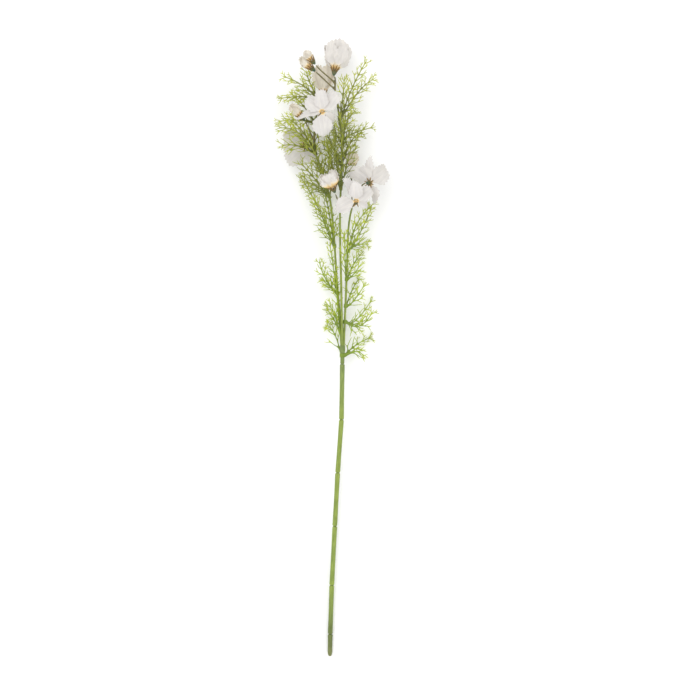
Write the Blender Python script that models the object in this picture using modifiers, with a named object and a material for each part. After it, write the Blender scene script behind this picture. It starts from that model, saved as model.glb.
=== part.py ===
"""A spray of artificial cosmos, lying on a flat surface: a jointed plastic stem on a steel wire, three
branches, feathery moulded foliage on sleeves, forked flower stalks, and fabric flowers and buds.

The stem runs along +Y, the flowers are at the +Y end, and the surface it lies on is z = 0.
"""

import math
import random

import bmesh
import bpy
from mathutils import Matrix, Vector
from mathutils.bvhtree import BVHTree

MM = 0.001

# Clearance between pieces that seat on each other, and the least that foliage keeps from anything else.
GAP = 0.3 * MM
CLEARANCE = 0.45 * MM

# Main stem: plastic sleeves threaded on a wire.
STEM_RADIUS = 2.8 * MM
STEM_END_RADIUS = 1.5 * MM
WIRE_RADIUS = 1.1 * MM
SLEEVE_CHAMFER = 0.7 * MM
END_TAPER = 4.0 * MM
STEM_SIDES = 12
# Where the sleeves meet, from the cut end to the collar, in mm.
STEM_JOINTS = [
    (-4.9, -350.0, 2.85),
    (-4.5, -324.6, 4.3),
    (-2.7, -268.6, 7.5),
    (0.8, -200.8, 11.3),
    (4.1, -139.7, 14.7),
    (8.4, -79.2, 18.1),
    (9.4, -15.8, 21.7),
]
COLLAR_TOP = (9.6, 5.1, 22.9)
COLLAR_RADIUS = 2.4 * MM
COLLAR_TOP_RADIUS = 3.1 * MM

# Branches: plastic-covered wires, from the collar up into the spray, in mm.
BRANCH_RADIUS = 1.3 * MM
BRANCH_TIP_SHARE = 0.75
BRANCH_STEPS = 2
BRANCHES = {
    "left": [
        (8.2, 5.6, 22.1), (6.0, 45, 24), (3.0, 80, 25.5), (0.8, 116, 27), (-1.9, 149, 29),
        (-4.5, 170, 30.5), (-10, 190, 32), (-18.5, 214, 34), (-22.5, 232, 36), (-21.5, 252, 38),
        (-18.5, 272, 40), (-17, 288, 41),
    ],
    "middle": [
        (9.6, 5.6, 24.6), (8.6, 45, 28.5), (8.0, 80, 31.5), (7.2, 110, 34), (6.8, 153, 38), (8.0, 190, 41),
        (8.8, 222, 43), (7.5, 250, 45), (4.5, 272, 46.5), (1.8, 288, 47.5),
    ],
    "right": [
        (11.0, 5.6, 22.1), (12.6, 42, 24.5), (14.2, 80, 27.5), (15.4, 114, 30.5), (16.2, 135, 33),
        (18.0, 150, 35.5), (20.3, 160, 38),
    ],
}

# Foliage: fronds moulded in one with a short sleeve that slides over a branch.
RING_SIDES = 8
RING_LENGTH = 5.0 * MM
RING_WALL = 0.5 * MM
RIB_HALF = 0.7 * MM
RIB_TIP_HALF = 0.45 * MM
TWIG_HALF = 0.4 * MM
NODE_LENGTH = 2.0 * MM
NODE_SPACING = 9.0 * MM
TWIG_REACH = 13.0 * MM
TWIG_ANGLE = 42.0
# Each sleeve: the branch it is on, its place along it, and its fronds as (middle, tip, tilt), in mm and
# degrees.
FOLIAGE = {
    "foliage_collar": ("collar", -6, [
        ((24, 5, 14), (40.7, 14.1, 2.5), 0), ((25.4, -1.5, 24), (33.3, -6.5, 27), 30),
        ((0.6, 18, 14), (-8, 28, 3), 0),
    ]),
    "foliage_left_1": ("left", 22, [
        ((-0.6, 43, 30), (-7.6, 51, 36), 20), ((-1, 36, 14), (-8, 46, 2.5), 0),
        ((4, 52, 29), (2.5, 82, 33), 30),
    ]),
    "foliage_left_2": ("left", 64, [
        ((-3.5, 71, 17), (-13.5, 80, 3), 0), ((-10.2, 82, 30), (-16.1, 99, 31), 10),
        ((-0.5, 92, 32), (-4.5, 118, 35), 30),
    ]),
    "foliage_left_3": ("left", 118, [
        ((-17, 159, 21), (-37.9, 196.8, 10), 0), ((-9, 145, 35), (-22, 170, 40), 15),
        ((-5, 152, 14), (-11, 182, 5), 0),
    ]),
    "foliage_left_4": ("left", 174, [
        ((-20, 191, 37), (-36, 209, 42), 0), ((-14, 205, 46), (-29, 233, 50), 20),
        ((-3, 204, 51), (-7, 231, 53), 50), ((-16, 184, 14), (-31, 192, 2.5), 0),
        ((-15, 200, 22), (-26, 222, 13), 0),
    ]),
    "foliage_left_5": ("left", 222, [
        ((-39.6, 244, 42), (-61, 250, 40), 0), ((-40, 229, 50), (-57, 229, 54), 15),
        ((-36, 246, 52), (-50, 258, 57), 10), ((-22, 245, 28), (-20, 268, 22), 0),
    ]),
    "foliage_left_6": ("left", 256, [
        ((-42.4, 260, 32), (-62, 259, 25), 0), ((-34.5, 276, 30), (-48, 290, 22), 10),
    ]),
    "foliage_left_7": ("left", 283, [
        ((-34.5, 297, 45), (-55.4, 307, 46), 0), ((-38.5, 286, 35), (-59.9, 285, 27), 0),
        ((-27, 301, 37), (-31, 314, 32), 20),
    ]),
    "foliage_middle_1": ("middle", 182, [
        ((2.5, 214, 54), (1, 238, 56), 60), ((-3, 212, 26), (-8, 236, 10), 0),
        ((14, 205, 52), (19, 226, 56), 40),
        ((9.5, 208, 26), (9, 236, 16), 0),
    ]),
    "foliage_middle_2": ("middle", 210, [
        ((19.8, 236, 33), (31, 247, 23), 0), ((9.5, 238, 57), (8, 258, 60), 60),
        ((-3, 232, 46), (-12, 250, 47), 20),
        ((11, 240, 28), (13, 266, 18), 0),
    ]),
    "foliage_middle_3": ("middle", 236, [
        ((23.2, 244.3, 41), (43, 251, 36), 0), ((15.3, 257, 54), (23.2, 266, 60), 30),
        ((-3, 251, 24), (-12, 262, 2.5), 0),
    ]),
    "foliage_middle_4": ("middle", 260, [
        ((19.8, 292.4, 48), (35.4, 322.3, 50), 0), ((27, 290, 38), (44.1, 305.9, 31), 10),
        ((10.5, 286, 57), (11.5, 301, 62), 30),
    ]),
    "foliage_right_1": ("right", 32, [
        ((29, 27, 30), (43, 42, 34), 0), ((25, 34, 15), (42.4, 56.6, 4), 0),
    ]),
    "foliage_right_2": ("right", 50, [
        ((22.6, 56, 32), (34.2, 73, 37), 10), ((20, 67, 14), (28, 81, 2.5), 0),
    ]),
    "foliage_right_3": ("right", 80, [
        ((22, 85, 38), (28.5, 94, 44), 30), ((23.2, 99, 20), (33, 112, 4), 0),
        ((12.5, 104, 40), (12, 130, 45), 30),
    ]),
    "foliage_right_4": ("right", 112, [
        ((30.5, 135, 23), (41.8, 160, 14), 0), ((25.5, 141, 42), (45, 165, 42), 10),
        ((26, 119, 19), (38, 121, 2.5), 0),
    ]),
}

# Flower stalks: forked, square in section with the corners taken off by their small size.
STALK_HALF = 0.75 * MM
# Each stalk's arms, as (the point of the first arm it leaves, its points, the flower it ends at), in mm.
STALKS = {
    "stalk_top": [
        (None, [(1.6, 288.9, 47.6), (1.4, 293.5, 47.9), (1.8, 301, 48.6), (1.2, 306, 51)], "top"),
        (1, [(-9, 302, 46.5), (-16, 308.5, 46.5)], "bud_low"),
        (2, [(-8, 307.5, 52), (-15.5, 313.5, 55.5)], "bud_high"),
    ],
    "stalk_upper_left": [
        (None, [(-22.8, 233.5, 38.3), (-22.6, 236, 41), (-18.5, 251, 45.5)], "front"),
        (1, [(-28, 248, 42)], "bud_left"),
    ],
    "stalk_lower_left": [(None, [(-23.9, 230.6, 34.7)], "lower_left")],
    "stalk_behind": [(None, [(-17.0, 273, 37.9), (-15.4, 276.5, 34)], "behind")],
    "stalk_right": [
        (None, [(20.5, 160.8, 38.6), (21.5, 162.3, 41.5)], "near_right"),
        (1, [(25.5, 175, 44), (30, 183, 50), (33, 186, 53)], "far_right"),
        (1, [(20, 180, 33), (19.8, 192, 27)], "bud_right"),
    ],
    "stalk_bud": [(None, [(5.9, 160.5, 40.2), (4.5, 168, 50)], "bud_front")],
}

# Flowers. A petal's heading is its angle in the plane that the spray lies on, from +X towards +Y, and its
# rise is its angle above that plane. A cup's side leans by lift from the flower's own plane.
PETAL_THICKNESS = 0.45 * MM
DISC_RADIUS = 2.2 * MM
CALYX_BOTTOM_RADIUS = 1.2 * MM
CALYX_TOP_RADIUS = 2.7 * MM
CALYX_SIDES = 8
CENTRE_RADIUS = 1.2 * MM
# How wide a petal is along its length, as (share of length, share of width).
PETAL_OUTLINE = [(0.16, 0.34), (0.42, 0.86), (0.74, 1.0), (1.0, 0.52)]
# Each open petal: heading, rise, roll, length, width, in degrees and mm.
OPEN_FLOWERS = {
    "front": ((-13, 266.4, 58), (-0.1, 0.3, 0.95), 7.5, [
        (-88, 2, 0, 27, 24), (-38, -12, 0, 18, 15), (52, 18, 10, 27, 21), (95, 32, 0, 26, 17),
        (138, 14, -8, 23, 19), (188, 4, 62, 30, 17),
    ]),
    "lower_left": ((-34.5, 231, 27), (-0.7, -0.12, -0.7), 7.5, [
        (147, 4, -28, 27, 24), (186, -8, 0, 24, 19), (228, -6, 28, 27, 25), (303, -14, 28, 22, 18),
        (96, -30, 0, 20, 15),
    ]),
    "far_right": ((41, 187.7, 44), (0.6, 0.05, -0.8), 7.5, [
        (38, 24, 0, 29, 24), (93, -14, 60, 31, 11), (113, -6, 0, 21, 16), (143, -14, 14, 31, 19),
        (-68, 8, 20, 25, 15),
    ]),
    "near_right": ((24.9, 166.8, 56), (0, 0.4, 0.9), 7.5, [
        (198, 2, 0, 25, 22), (112, 22, 35, 30, 14), (90, 42, 0, 24, 17), (40, 12, 0, 22, 20),
        (-20, -14, 0, 15, 13),
    ]),
}
# Each cup: centre, axis, calyx length, lift, bend and petal length. A cup that nearly closes is a solid bud.
CUP_SIDES = 10
CUP_RINGS = [0.16, 0.42, 0.74, 1.0]
CLOSED_RIM = 4.5 * MM
TIP_RADIUS = 0.8 * MM
CUPS = {
    "top": ((1.0, 314.5, 50), (0.15, 0.93, -0.32), 7.5, 56, 30, 36),
    "behind": ((-12.5, 291, 33), (0.05, 0.95, -0.1), 6.5, 60, 28, 34),
    "bud_high": ((-24.9, 324.6, 57), (-0.62, 0.78, 0.1), 6.0, 66, 55, 15),
    "bud_low": ((-26, 317.8, 45), (-0.73, 0.68, -0.1), 6.5, 66, 60, 19),
    "bud_left": ((-37.5, 263.5, 42), (-0.65, 0.7, 0.1), 6.5, 66, 55, 18),
    "bud_right": ((20.4, 208.7, 24), (0.05, 0.95, 0.1), 6.5, 58, 50, 18),
    "bud_front": ((-1.1, 181.5, 58), (-0.38, 0.9, 0.2), 6.0, 40, 42, 21),
}
CENTRED_CUPS = ["top"]

MATERIALS = {
    "stem_plastic": ((0.30, 0.38, 0.09), 0.5, 0.0),
    "branch_plastic": ((0.22, 0.34, 0.07), 0.5, 0.0),
    "foliage_plastic": ((0.32, 0.42, 0.05), 0.45, 0.0),
    "stalk_plastic": ((0.16, 0.14, 0.05), 0.5, 0.0),
    "calyx_plastic": ((0.08, 0.13, 0.05), 0.5, 0.0),
    "centre_plastic": ((0.45, 0.38, 0.10), 0.6, 0.0),
    "petal_fabric": ((0.86, 0.84, 0.81), 0.8, 0.0),
    "steel_wire": ((0.45, 0.45, 0.44), 0.35, 1.0),
}


def mm(point):
    return Vector(point) * MM


def clear_scene():
    for found in list(bpy.data.objects):
        bpy.data.objects.remove(found)


def make_material(name):
    colour, roughness, metallic = MATERIALS[name]
    material = bpy.data.materials.new(name)
    material.use_nodes = True
    shader = material.node_tree.nodes["Principled BSDF"]
    shader.inputs["Base Color"].default_value = (*colour, 1)
    shader.inputs["Roughness"].default_value = roughness
    shader.inputs["Metallic"].default_value = metallic
    material.diffuse_color = (*colour, 1)
    return material


def add_object(name, data, material):
    made = bpy.data.objects.new(name, data)
    data.materials.append(bpy.data.materials[material])
    bpy.data.collections["cosmos_spray"].objects.link(made)
    return made


def mesh_object(name, bm, material):
    mesh = bpy.data.meshes.new(name)
    bm.to_mesh(mesh)
    bm.free()
    mesh.shade_smooth()
    mesh.set_sharp_from_angle(angle=math.radians(40))
    return add_object(name, mesh, material)


def turned(name, profile, start, end, material):
    """A body turned about the line from start to end. The profile is a closed loop of (radius, height)."""
    bm = bmesh.new()
    corners = [bm.verts.new((radius, 0, height)) for radius, height in profile]
    for first, second in zip(corners, corners[1:] + corners[:1]):
        bm.edges.new((first, second))
    mesh = bpy.data.meshes.new(name)
    bm.to_mesh(mesh)
    bm.free()
    made = add_object(name, mesh, material)
    made.location = start
    made.rotation_euler = (end - start).to_track_quat("Z", "Y").to_euler()
    screw = made.modifiers.new("turn", "SCREW")
    screw.steps = screw.render_steps = STEM_SIDES
    screw.use_merge_vertices = True
    screw.merge_threshold = 0.00001
    screw.use_normal_calculate = True
    return made


def sleeve_profile(outer, bottom_outer, bore, length, bottom_taper, floor):
    """The wall of a sleeve. A sleeve with a floor is closed at the bottom below that height."""
    inner_foot = [(0.0, floor), (0.0, 0.0)] if floor else [(bore, 0.0)]
    mouth = [(bore, length)]
    if floor:
        mouth.append((bore, floor))
    return [
        *inner_foot,
        (bottom_outer, 0.0),
        (outer, bottom_taper),
        (outer, length - SLEEVE_CHAMFER),
        (outer - SLEEVE_CHAMFER, length),
        *mouth,
    ]


def build_stem():
    joints = [mm(point) for point in STEM_JOINTS]
    for number, (low, high) in enumerate(zip(joints, joints[1:]), 1):
        along = (high - low).normalized()
        start, end = low + along * GAP / 2, high - along * GAP / 2
        length = (end - start).length
        first = number == 1
        profile = sleeve_profile(
            STEM_RADIUS,
            STEM_END_RADIUS if first else STEM_RADIUS - SLEEVE_CHAMFER,
            WIRE_RADIUS + GAP,
            length,
            END_TAPER if first else SLEEVE_CHAMFER,
            END_TAPER + 2 * MM if first else 0.0,
        )
        turned(f"stem_sleeve_{number}", profile, start, end, "stem_plastic")
    build_collar(joints[-1])
    low, second = joints[0], joints[1]
    wire_start = low + (second - low).normalized() * (END_TAPER + 3 * MM)
    wire_end = joints[-1].lerp(mm(COLLAR_TOP), 0.6)
    tube("stem_wire", [wire_start, *joints[1:], wire_end], WIRE_RADIUS, "steel_wire", 1.0)


def build_collar(low):
    top = mm(COLLAR_TOP)
    start = low + (top - low).normalized() * GAP / 2
    length = (top - start).length
    bore = WIRE_RADIUS + GAP
    roof = length * 0.75
    profile = [
        (bore, 0.0),
        (COLLAR_RADIUS, 0.0),
        (COLLAR_RADIUS, length * 0.6),
        (COLLAR_TOP_RADIUS, length - SLEEVE_CHAMFER),
        (COLLAR_TOP_RADIUS, length),
        (0.0, length),
        (0.0, roof),
        (bore, roof),
    ]
    turned("branch_collar", profile, start, top, "stem_plastic")


def smooth_route(points, steps):
    """Points on a Catmull-Rom curve through the given ones, with steps between each two."""
    ends = [2 * points[0] - points[1], *points, 2 * points[-1] - points[-2]]
    route = []
    for a, b, c, d in zip(ends, ends[1:], ends[2:], ends[3:]):
        for step in range(steps):
            t = step / steps
            curved = (2 * a - 5 * b + 4 * c - d) * t**2 + (3 * b - a - 3 * c + d) * t**3
            route.append(0.5 * (2 * b + (c - a) * t + curved))
    route.append(points[-1])
    return route


def tube(name, points, radius, material, tip_share):
    """A round bar along the points, thinning to tip_share of its radius at the far end."""
    curve = bpy.data.curves.new(name, "CURVE")
    curve.dimensions = "3D"
    curve.bevel_depth = radius
    curve.bevel_resolution = 2
    curve.use_fill_caps = True
    spline = curve.splines.new("POLY")
    spline.points.add(len(points) - 1)
    for index, point in enumerate(points):
        spline.points[index].co = (*point, 1)
        spline.points[index].radius = 1 + (tip_share - 1) * index / (len(points) - 1)
    return add_object(name, curve, material)


def build_branches():
    for side, points in BRANCHES.items():
        route = smooth_route([mm(point) for point in points], BRANCH_STEPS)
        tube(f"branch_{side}", route, BRANCH_RADIUS, "branch_plastic", BRANCH_TIP_SHARE)


def place_on(branch, y):
    """The point and the direction of a branch, or of the collar, where it passes y."""
    if branch == "collar":
        route = [mm(STEM_JOINTS[-1]), mm(COLLAR_TOP)]
    else:
        route = smooth_route([mm(point) for point in BRANCHES[branch]], BRANCH_STEPS)
    for low, high in zip(route, route[1:]):
        if low.y <= y * MM <= high.y:
            share = (y * MM - low.y) / (high.y - low.y)
            return low.lerp(high, share), (high - low).normalized()
    raise ValueError(f"branch {branch} doesn't pass y = {y}")


def square_corners(face, centre, direction, half):
    """Moves a four-sided face's corners to a square around centre, facing along direction and not twisted."""
    corners = list(face.verts)
    across = corners[0].co + corners[1].co - corners[2].co - corners[3].co
    across = (across - direction * across.dot(direction)).normalized()
    other = corners[1].co + corners[2].co - corners[3].co - corners[0].co
    along = direction.cross(across)
    if along.dot(other) < 0:
        along = -along
    for corner, a, b in zip(corners, (1, 1, -1, -1), (-1, 1, 1, -1)):
        corner.co = centre + (across * a + along * b) * half


def extrude_to(bm, face, centre, direction, half):
    """Extrudes a face to a square around centre, and returns that end and the four sides of the step."""
    end = bmesh.ops.extrude_discrete_faces(bm, faces=[face])["faces"][0]
    square_corners(end, centre, direction.normalized(), half)
    sides = [other for edge in end.edges for other in edge.link_faces if other is not end]
    return end, sides


def side_towards(sides, centre, direction):
    return max(sides, key=lambda side: (side.calc_center_median() - centre).dot(direction))


def above_floor(point, half):
    """The point, or the nearest one above it where a bar of that half width clears the surface."""
    return Vector((point.x, point.y, max(point.z, half * math.sqrt(2) + 0.1 * MM)))


def ring(centre, direction, bore):
    """A short eight-sided sleeve around a branch, as a bmesh."""
    bm = bmesh.new()
    radius = (bore + RING_WALL) / math.cos(math.pi / RING_SIDES)
    bmesh.ops.create_cone(
        bm, cap_ends=False, segments=RING_SIDES, radius1=radius, radius2=radius, depth=RING_LENGTH
    )
    bmesh.ops.solidify(bm, geom=bm.faces[:], thickness=RING_WALL)
    turn = direction.to_track_quat("Z", "Y").to_matrix().to_4x4()
    bm.transform(Matrix.Translation(centre) @ turn)
    return bm


def outer_walls(bm, centre, direction, bore):
    """The ring's faces that look away from the branch."""
    walls = []
    for face in bm.faces:
        out = face.calc_center_median() - centre
        out -= direction * out.dot(direction)
        if out.length > bore + RING_WALL / 2 and abs(face.normal.dot(direction)) < 0.5:
            walls.append(face)
    return walls


def rib_points(start, middle, tip):
    """Pairs of points, the ends of each short node along a rib that curves through its middle."""
    control = 2 * middle - (start + tip) / 2
    length = (middle - start).length + (tip - middle).length
    count = max(3, round(length / NODE_SPACING))
    pairs = []
    for node in range(1, count + 1):
        ends = []
        for back in (NODE_LENGTH, 0.0):
            t = node / count - back / length
            ends.append(start * (1 - t) ** 2 + control * 2 * t * (1 - t) + tip * t**2)
        pairs.append(ends)
    return pairs


def touches(trees, start, end, half):
    """Whether a bar from start to end comes too near to anything that is already there."""
    for share in (0.3, 0.5, 0.7, 0.85, 1.0):
        point = start.lerp(end, share)
        for tree in trees:
            if tree.find_nearest(point, half * 1.5 + CLEARANCE)[0] is not None:
                return True
    return False


def crosses_own(own, start, end):
    """Whether a twig comes too near to a twig of the same piece that grows from somewhere else."""
    for share in (0.4, 0.7, 1.0):
        point = start.lerp(end, share)
        for other_start, other_end in own:
            if (other_start - start).length < NODE_LENGTH * 1.5:
                continue
            line = other_end - other_start
            t = min(1, max(0, (point - other_start).dot(line) / line.length_squared))
            if (other_start + line * t - point).length < TWIG_HALF * 3:
                return True
    return False


def twig_ends(base, direction, outward, length):
    """Where a twig could end, best first: in the frond's plane, then leaning out of it, then shorter."""
    normal = direction.cross(outward)
    for shorter in (1.0, 0.65):
        for lean in (0, 25, -25, 50, -50):
            angle, tilt = math.radians(TWIG_ANGLE), math.radians(lean)
            heading = direction * math.cos(angle) + outward * math.sin(angle)
            heading = heading * math.cos(tilt) + normal * math.sin(tilt)
            yield above_floor(base + heading * length * shorter, TWIG_HALF)


def frond_plane(direction, tilt):
    """The direction across a frond: level, then tilted about the rib."""
    level = direction.cross(Vector((0, 0, 1)))
    if level.length < 0.2:
        level = direction.cross(Vector((1, 0, 0)))
    return Matrix.Rotation(math.radians(tilt), 3, direction) @ level.normalized()


def grow_rib(bm, wall, middle, tip, own):
    """Grows a rib out of a wall of the sleeve, and returns its short nodes with their sides."""
    start = wall.calc_center_median()
    pairs = rib_points(start, mm(middle), mm(tip))
    nodes, face, before = [], wall, start
    for number, (low, high) in enumerate(pairs):
        half = RIB_HALF + (RIB_TIP_HALF - RIB_HALF) * number / (len(pairs) - 1)
        low, high = above_floor(low, half), above_floor(high, half)
        face, _ = extrude_to(bm, face, low, low - before, half)
        face, sides = extrude_to(bm, face, high, high - low, half)
        own.append((before, high))
        nodes.append((low, high, sides))
        before = high
    return nodes


def grow_twigs(bm, nodes, tilt, trees, own, rng):
    """Grows twigs on both sides of a rib's nodes, where there is room for them."""
    for number, (low, high, sides) in enumerate(nodes[:-1]):
        direction = (high - low).normalized()
        across = frond_plane(direction, tilt)
        reach = TWIG_REACH * (1 - 0.55 * number / len(nodes)) * rng.uniform(0.85, 1.15)
        for outward in (across, -across):
            centre = (low + high) / 2
            side = side_towards(sides, centre, outward)
            base = side.calc_center_median()
            for end in twig_ends(base, direction, outward, reach):
                if not touches(trees, base, end, TWIG_HALF) and not crosses_own(own, base, end):
                    sides.remove(side)
                    extrude_to(bm, side, end, end - base, TWIG_HALF)
                    own.append((base, end))
                    break


def build_foliage(trees):
    for number, (name, (branch, y, ribs)) in enumerate(FOLIAGE.items()):
        centre, direction = place_on(branch, y)
        bore = (COLLAR_RADIUS if branch == "collar" else BRANCH_RADIUS) + GAP
        bm = ring(centre, direction, bore)
        bm.normal_update()
        walls = outer_walls(bm, centre, direction, bore)
        rng = random.Random(number)
        own, fronds = [], []
        for middle, tip, tilt in ribs:
            towards = mm(middle) - centre
            wall = side_towards(walls, centre, (towards - direction * towards.dot(direction)).normalized())
            walls.remove(wall)
            fronds.append((grow_rib(bm, wall, middle, tip, own), tilt))
        for nodes, tilt in fronds:
            grow_twigs(bm, nodes, tilt, trees, own, rng)
        trees.append(tree_of(mesh_object(name, bm, "foliage_plastic")))


def build_stalk(name, arms):
    """A forked stalk. Its first arm starts it, and each later one leaves it at one of its points."""
    ends = [flower_foot(flower) for _, _, flower in arms]
    route = [*[mm(point) for point in arms[0][1]], ends[0][0]]
    direction = (route[1] - route[0]).normalized()
    bm = bmesh.new()
    bmesh.ops.create_cube(bm, size=2 * STALK_HALF)
    turn = direction.to_track_quat("Z", "Y").to_matrix().to_4x4()
    bm.transform(Matrix.Translation(route[0] + direction * STALK_HALF) @ turn)
    bm.normal_update()
    face = max(bm.faces, key=lambda one: one.normal.dot(direction))
    forks = {0: (route[0], list(bm.faces))}
    before = route[0] + direction * STALK_HALF * 2
    for index, point in enumerate(route[1:-1], 1):
        along = (point - before).normalized()
        low = point - along * STALK_HALF * 2
        face, _ = extrude_to(bm, face, low, along, STALK_HALF)
        face, sides = extrude_to(bm, face, point, along, STALK_HALF)
        forks[index] = (point - along * STALK_HALF, sides)
        before = point
    extrude_to(bm, face, *ends[0], STALK_HALF)
    for (fork, points, _), end in zip(arms[1:], ends[1:]):
        centre, sides = forks[fork]
        arm = [mm(point) for point in points]
        side = side_towards(sides, centre, (arm[0] - centre).normalized())
        sides.remove(side)
        face, before = side, side.calc_center_median()
        for point, following in zip(arm, [*arm[1:], end[0]]):
            mitre = (point - before).normalized() + (following - point).normalized()
            face, _ = extrude_to(bm, face, point, mitre, STALK_HALF)
            before = point
        extrude_to(bm, face, *end, STALK_HALF)
    return mesh_object(name, bm, "stalk_plastic")


def flower_foot(name):
    """Where a stalk ends under a flower, and the way that it points there."""
    centre, axis, calyx_length = (OPEN_FLOWERS | CUPS)[name][:3]
    axis = Vector(axis).normalized()
    return mm(centre) - axis * (GAP * 2 + PETAL_THICKNESS + calyx_length * MM), axis


def flower_axes(axis):
    """Two directions square to a flower's axis and to each other."""
    across = axis.orthogonal().normalized()
    return across, axis.cross(across)


def open_petals(rows):
    """Open petals as (direction, roll, length, width), from headings and rises."""
    petals = []
    for heading, rise, roll, length, width in rows:
        turn, climb = math.radians(heading), math.radians(rise)
        direction = Vector((math.cos(turn), math.sin(turn), 0)) * math.cos(climb)
        direction.z = math.sin(climb)
        petals.append((direction, math.radians(roll), length * MM, width * MM))
    return petals


def petal_row(base, direction, side, normal, bend, length, width, share, row_width):
    """Three points across a petal at a share of its length. bend turns it towards its face on the way."""
    angle = bend * (share - 0.35)
    along = direction * math.cos(angle) + normal * math.sin(angle)
    face = normal * math.cos(angle) - direction * math.sin(angle)
    middle = base + along * length * share
    half = width * row_width / 2
    dip = face * half * 0.22
    return [middle - side * half + dip, middle, middle + side * half + dip]


def petal_strip(name, centre, out, axis, petal, bend):
    """One petal as a thin closed strip whose root lies inside the flower's disc."""
    direction, roll, length, width = petal
    side = direction.cross(axis).normalized()
    base = centre + out * DISC_RADIUS * 0.9
    rows = [[centre + out * DISC_RADIUS * 0.3 + side * reach * MM for reach in (-0.5, 0, 0.5)]]
    for share, row_width in PETAL_OUTLINE:
        turned_side = Matrix.Rotation(roll * share, 3, direction) @ side
        normal = turned_side.cross(direction)
        targets = petal_row(base, direction, turned_side, normal, bend, length, width, share, row_width)
        rows.append([above_floor(target, PETAL_THICKNESS) for target in targets])
    bm = bmesh.new()
    grid = [[bm.verts.new(point) for point in row] for row in rows]
    for near, far in zip(grid, grid[1:]):
        for left in (0, 1):
            bm.faces.new([near[left], near[left + 1], far[left + 1], far[left]])
    made = mesh_object(name, bm, "petal_fabric")
    solidify = made.modifiers.new("fabric", "SOLIDIFY")
    solidify.thickness = PETAL_THICKNESS
    solidify.offset = 0
    return made


def corolla(name, centre, axis, petals, bend):
    """A small disc and the petals that leave it, joined into one solid where they meet or cross."""
    across, other = flower_axes(axis)
    angles = [math.atan2(petal[0].dot(other), petal[0].dot(across)) for petal in petals]
    order = sorted(range(len(petals)), key=lambda index: angles[index])
    bm = bmesh.new()
    bmesh.ops.create_cone(
        bm, cap_ends=True, segments=12, radius1=DISC_RADIUS, radius2=DISC_RADIUS, depth=PETAL_THICKNESS
    )
    bm.transform(Matrix.Translation(centre) @ axis.to_track_quat("Z", "Y").to_matrix().to_4x4())
    made = mesh_object(name, bm, "petal_fabric")
    strips = []
    for place, index in enumerate(order):
        angle = angles[order[0]] + 2 * math.pi * place / len(petals)
        out = across * math.cos(angle) + other * math.sin(angle)
        strips.append(petal_strip(f"{name}_strip_{index}", centre, out, axis, petals[index], bend))
        union = made.modifiers.new("union", "BOOLEAN")
        union.operation = "UNION"
        union.solver = "MANIFOLD"
        union.object = strips[-1]
    bpy.context.view_layer.update()
    joined = bpy.data.meshes.new_from_object(made.evaluated_get(bpy.context.evaluated_depsgraph_get()))
    made.modifiers.clear()
    made.data = joined
    for strip in strips:
        bpy.data.objects.remove(strip)
    return made


def cup(name, centre, axis, lift, bend, length):
    """A bell of fabric that follows its petals' middles: a shell, or a solid bud if its rim nearly closes."""
    bm = bmesh.new()
    bmesh.ops.create_circle(bm, cap_ends=True, radius=DISC_RADIUS, segments=CUP_SIDES)
    bmesh.ops.reverse_faces(bm, faces=bm.faces)
    edges = list(bm.edges)
    for share in CUP_RINGS:
        grown = bmesh.ops.extrude_edge_only(bm, edges=edges)["geom"]
        edges = [one for one in grown if isinstance(one, bmesh.types.BMEdge) and one.is_boundary]
        angle = lift + bend * (share - 0.35)
        radius = max(DISC_RADIUS + length * share * math.cos(angle), TIP_RADIUS)
        for vert in {vert for edge in edges for vert in edge.verts}:
            vert.co = vert.co.xy.normalized().to_3d() * radius
            vert.co.z = length * share * math.sin(angle)
    closed = radius < CLOSED_RIM
    if closed:
        bmesh.ops.contextual_create(bm, geom=edges)
    turn = axis.to_track_quat("Z", "Y").to_matrix().to_4x4()
    bm.transform(Matrix.Translation(centre) @ turn)
    made = mesh_object(name, bm, "petal_fabric")
    if not closed:
        solidify = made.modifiers.new("fabric", "SOLIDIFY")
        solidify.thickness = PETAL_THICKNESS
        solidify.offset = 0


def calyx(name, centre, axis, length, lobe_lift):
    """A green cup under the petals, with a pointed lobe on each side that follows the petals' backs."""
    top = centre - axis * (GAP + PETAL_THICKNESS)
    bm = bmesh.new()
    bmesh.ops.create_cone(
        bm, cap_ends=True, segments=CALYX_SIDES, depth=length,
        radius1=CALYX_BOTTOM_RADIUS, radius2=CALYX_TOP_RADIUS,
    )
    turn = axis.to_track_quat("Z", "Y").to_matrix().to_4x4()
    bm.transform(Matrix.Translation(top - axis * length / 2) @ turn)
    bm.normal_update()
    walls = [face for face in bm.faces if len(face.verts) == 4]
    for wall in walls:
        out = wall.calc_center_median() - (top - axis * length / 2)
        out = (out - axis * out.dot(axis)).normalized()
        climb = math.radians(lobe_lift)
        heading = out * math.cos(climb) + axis * math.sin(climb)
        tip = top - axis * 0.8 * MM + out * CALYX_TOP_RADIUS + heading * 2.6 * MM
        extrude_to(bm, wall, tip, heading, 0.3 * MM)
    return mesh_object(name, bm, "calyx_plastic")


def flower_centre(name, centre, axis):
    bm = bmesh.new()
    bmesh.ops.create_uvsphere(bm, u_segments=8, v_segments=5, radius=CENTRE_RADIUS)
    turn = axis.to_track_quat("Z", "Y").to_matrix().to_4x4()
    lift = axis * (GAP * 2 + PETAL_THICKNESS / 2 + CENTRE_RADIUS)
    bm.transform(Matrix.Translation(centre + lift) @ turn)
    return mesh_object(name, bm, "centre_plastic")


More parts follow.
